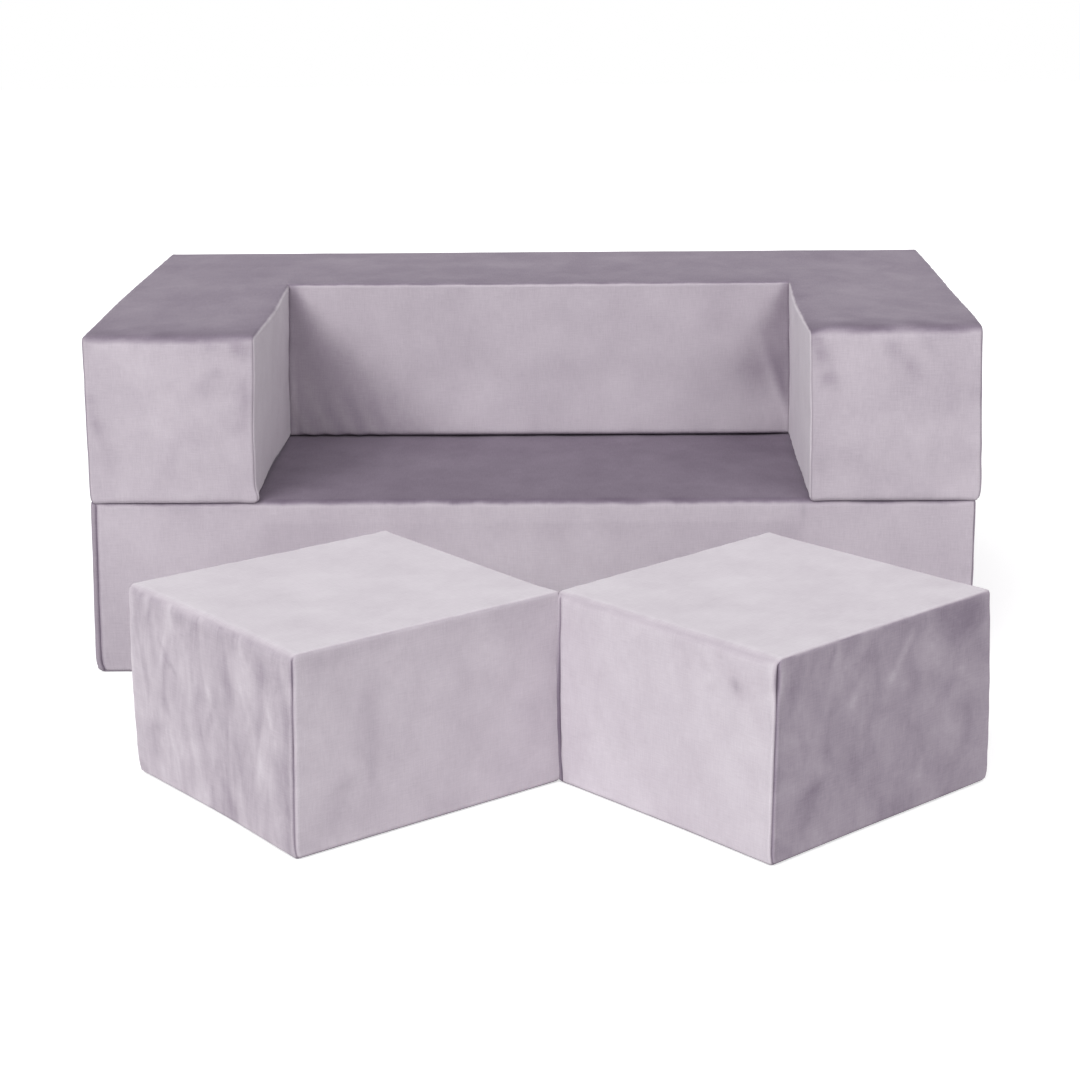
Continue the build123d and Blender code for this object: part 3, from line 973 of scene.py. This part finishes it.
# Velvet's colours, from nap and painted shade 0 to 1
velvet_colours = (
    (0.0, (0.150, 0.118, 0.160)),
    (0.25, (0.235, 0.196, 0.247)),
    (0.5, (0.370, 0.322, 0.375)),
    (0.75, (0.535, 0.482, 0.533)),
    (1.0, (0.700, 0.655, 0.700)),
)


# Materials

def plug(node, inputs):
    """Gives a node's inputs their values, or links them to the outputs of other nodes."""
    for key, value in inputs.items():
        if isinstance(value, bpy.types.NodeSocket):
            node.id_data.links.new(value, node.inputs[key])
        else:
            node.inputs[key].default_value = value


def node_adder(tree):
    """Function that adds a node to the tree, with its inputs and settings."""

    def add(kind, inputs=None, **settings):
        node = tree.nodes.new(kind)
        for key, value in settings.items():
            setattr(node, key, value)
        plug(node, inputs or {})
        return node

    return add


def material(name):
    """New material with its shader, and a function that adds nodes to it."""
    made = bpy.data.materials.new(name)
    made.use_nodes = True
    return made, made.node_tree.nodes["Principled BSDF"], node_adder(made.node_tree)


def math_node(add, operation, first, second):
    return add("ShaderNodeMath", {0: first, 1: second}, operation=operation).outputs[0]


def bump(add, height, strength, distance):
    inputs = {"Height": height, "Strength": strength, "Distance": distance}
    return add("ShaderNodeBump", inputs).outputs[0]


def ramp(add, factor, stops):
    """Colours along a factor."""
    node = add("ShaderNodeValToRGB", {"Fac": factor})
    while len(node.color_ramp.elements) < len(stops):
        node.color_ramp.elements.new(0.5)
    for element, (place, colour) in zip(node.color_ramp.elements, stops):
        element.position = place
        element.color = (*colour, 1)
    return node.outputs["Color"]


def velvet_material():
    """Short-pile velvet: its shade from the nap and painted light, strokes and smudges where it was
    brushed, and pile.
    """
    made, shader, add = material("lilac_grey_velvet")
    labels = ("nap", "brushed", "patchy")
    sources = [add("ShaderNodeAttribute", attribute_name=label).outputs["Fac"] for label in labels]
    nap, brushed, patchy = sources
    sheet = add("ShaderNodeUVMap", uv_map="cloth").outputs["UV"]

    def pattern(scale, detail, distortion=0, spread=0.5):
        """Noise between -0.5 and 0.5, as fine along the panel and up it as the scale says."""
        stretched = add("ShaderNodeMapping", {"Vector": sheet, "Scale": (*scale, 1)}).outputs[0]
        inputs = {"Vector": stretched, "Scale": 1, "Detail": detail, "Distortion": distortion}
        noise = add("ShaderNodeTexNoise", inputs).outputs["Fac"]
        limits = {"From Min": 0.5 - spread, "From Max": 0.5 + spread, "To Min": -0.5, "To Max": 0.5}
        return add("ShaderNodeMapRange", {"Value": noise, **limits}).outputs[0]

    strokes = math_node(add, "MULTIPLY", pattern((34, 9), 6, 1.2, 0.16), brushed)
    smudges = math_node(add, "MULTIPLY", pattern((24, 20), 7, 0.5, 0.18), patchy)
    faint = pattern((9, 7), 2)
    threads = math_node(add, "ADD", pattern((700, 70), 1), pattern((70, 700), 1))
    pile = pattern((900, 900), 2)
    level = nap
    parts = ((strokes, 0.22), (smudges, 0.22), (faint, 0.04), (threads, 0.11), (pile, 0.12))
    for part, strength in parts:
        level = math_node(add, "ADD", level, math_node(add, "MULTIPLY", part, strength))
    plug(shader, {
        "Base Color": ramp(add, level, velvet_colours),
        "Roughness": 0.95,
        "Specular IOR Level": 0.1,
        "Sheen Weight": 0.12,
        "Sheen Roughness": 0.4,
        "Sheen Tint": (0.93, 0.88, 0.95, 1),
        "Normal": bump(add, math_node(add, "ADD", pile, threads), 0.2, 0.0004),
    })
    return made


def woven_material(name, dark, light, threads):
    """Plain weave: two crossed waves of thread."""
    made, shader, add = material(name)
    sheet = add("ShaderNodeTexCoord").outputs["Object"]
    inputs = {"Vector": sheet, "Scale": threads, "Distortion": 0.4, "Detail": 1}
    waves = [add("ShaderNodeTexWave", inputs, bands_direction=way).outputs["Fac"] for way in "XY"]
    weave = math_node(add, "MULTIPLY", *waves)
    colours = ramp(add, weave, ((0, dark), (1, light)))
    plug(shader, {"Base Color": colours, "Roughness": 0.85, "Normal": bump(add, weave, 0.4, 0.0004)})
    return made


def foam_material():
    """Cut open cells."""
    made, shader, add = material("open_cell_foam")
    place = add("ShaderNodeTexCoord").outputs["Object"]
    cells = add("ShaderNodeTexVoronoi", {"Vector": place, "Scale": 900}).outputs["Distance"]
    colours = ramp(add, cells, ((0, (0.55, 0.53, 0.45)), (0.6, (0.80, 0.78, 0.70))))
    plug(shader, {"Base Color": colours, "Roughness": 0.95, "Normal": bump(add, cells, 0.6, 0.0005)})
    return made


def metal_material():
    """Satin plate with fine upright lines."""
    made, shader, add = material("satin_nickel")
    place = add("ShaderNodeTexCoord").outputs["Object"]
    long_way = add("ShaderNodeMapping", {"Vector": place, "Scale": (120, 120, 3000)}).outputs[0]
    lines = add("ShaderNodeTexNoise", {"Vector": long_way, "Scale": 1, "Detail": 3}).outputs["Fac"]
    colours = ramp(add, lines, ((0.3, (0.46, 0.46, 0.47)), (0.7, (0.62, 0.62, 0.63))))
    rough = add("ShaderNodeMapRange", {"Value": lines, "To Min": 0.24, "To Max": 0.4}).outputs[0]
    plug(shader, {"Base Color": colours, "Roughness": rough, "Metallic": 1})
    return made


# Build the covers

def pouf_placing(name):
    """A pouf's place: the middle of its foam, turned as its zip runs."""
    low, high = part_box(f"{name}_foam_core")
    joints = {joint["name"]: joint for joint in frame["record"]["behaviour"]["joints"]}
    back_along = joints[f"{name}_zip_slide"]["axis"]
    turn = math.atan2(-back_along[1], -back_along[0])
    middle = (low + high) / 2
    return Matrix.Translation((middle.x, middle.y, 0)) @ Matrix.Rotation(turn, 4, "Z")


skins = [
    block_skin("base", sofa_width, sofa_depth, base_height, Matrix(), 21),
    back_skin("back_unit", Matrix.Translation((0, 0, base_height))),
    block_skin("pouf_left", pouf_breadth, pouf_length, pouf_height, pouf_placing("pouf_left"), 23),
    block_skin("pouf_right", pouf_breadth, pouf_length, pouf_height, pouf_placing("pouf_right"), 27),
]
pile_cloth = velvet_material()
lining = woven_material("plain_lining_cloth", (0.16, 0.14, 0.17), (0.34, 0.31, 0.36), 260)
tape_cloth = woven_material("woven_zip_tape", (0.20, 0.17, 0.21), (0.46, 0.41, 0.47), 500)
thread = woven_material("sewing_thread", (0.34, 0.30, 0.35), (0.60, 0.55, 0.60), 900)
nickel = metal_material()
foam = foam_material()

for skin in skins:
    sew(skin)
    if "pouf" in skin.name:
        open_corner(skin, open_gap if skin.name == "pouf_right" else slight_gap)
    for panel in dict.fromkeys(skin.panels):
        lined = panel == "underside"
        piece = panel_mesh(skin, panel)
        piece.data.materials.append(lining if lined else pile_cloth)
        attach(piece, skin.name)
        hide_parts(f"{skin.name}_cover_{panel}")

for skin in skins:
    for part, side in (("zip_tape_upper", -1), ("zip_tape_lower", 1)):
        piece = new_piece(f"{skin.name}_{part}_coil", *zip_half(skin, side))
        piece.data.materials.append(tape_cloth)
        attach(piece, skin.name)
        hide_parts(f"{skin.name}_{part}")
    piece = new_piece(f"{skin.name}_zip_stitches", *stitch_rows(skin))
    piece.data.materials.append(thread)
    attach(piece, skin.name)

for name, node in frame["nodes"].items():
    if "foam" in name:
        finish = foam
    elif "zip" in name:
        finish = nickel
    else:
        continue
    if not node.material_slots:
        node.data.materials.append(finish)
    for slot in node.material_slots:
        slot.link = "OBJECT"
        slot.material = finish


# Floor, light and camera

def seen(add):
    """1 for what the camera, gloss and glass see, and 0 for light that falls on the sofa."""
    path = add("ShaderNodeLightPath").outputs
    either = math_node(add, "MAXIMUM", path["Is Camera Ray"], path["Is Glossy Ray"])
    return math_node(add, "MAXIMUM", either, path["Is Transmission Ray"])


def white_floor():
    """Floor that glows a little for the camera alone, so that it looks as white as paper."""
    bpy.ops.mesh.primitive_plane_add(size=floor_size, location=(0, 0, -floor_drop))
    floor = bpy.context.object
    floor.name = "floor"
    made, shader, add = material("white_floor")
    glow = math_node(add, "MULTIPLY", seen(add), floor_glow)
    plug(shader, {
        "Base Color": floor_colour,
        "Roughness": 1,
        "Specular IOR Level": 0,
        "Emission Color": white,
        "Emission Strength": glow,
    })
    floor.data.materials.append(made)


def studio_light():
    """Soft light from all sides, which looks white itself."""
    world = bpy.data.worlds.new("studio")
    bpy.context.scene.world = world
    world.use_nodes = True
    world.node_tree.nodes.clear()
    add = node_adder(world.node_tree)
    levels = (sky_level, 1)
    soft, bright = [add("ShaderNodeBackground", {"Color": white, "Strength": level}) for level in levels]
    mixed = add("ShaderNodeMixShader", {0: seen(add), 1: soft.outputs[0], 2: bright.outputs[0]})
    add("ShaderNodeOutputWorld", {0: mixed.outputs[0]})


def broad_light(name, come_from, level):
    """Broad even light that gives a level face its share of white paper's light."""
    light = bpy.data.lights.new(name, "SUN")
    light.angle = sun_spread
    way = Vector(come_from).normalized()
    light.energy = math.pi * level / way.z
    source = bpy.data.objects.new(name, light)
    source.rotation_euler = way.to_track_quat("Z", "Y").to_euler()
    source.location = way * light_distance
    bpy.context.collection.objects.link(source)


def photo_camera():
    """Camera as in the photograph: turned by its yaw, tilted down, and rolled."""
    lens = bpy.data.cameras.new("photo_camera")
    lens.sensor_width = sensor_width
    lens.sensor_height = sensor_width
    lens.lens = focal_pixels * sensor_width / photo_size
    camera = bpy.data.objects.new("photo_camera", lens)
    turned = Matrix.Rotation(-camera_yaw, 4, "Z") @ Matrix.Rotation(math.pi / 2 - camera_pitch, 4, "X")
    turned = turned @ Matrix.Rotation(-camera_roll, 4, "Z")
    camera.matrix_world = Matrix.Translation(camera_place) @ turned
    bpy.context.collection.objects.link(camera)
    bpy.context.scene.camera = camera


white_floor()
studio_light()
broad_light("key_light", key_from, key_level)
broad_light("fill_light", fill_from, fill_level)
photo_camera()
bpy.context.scene.view_settings.view_transform = "Standard"
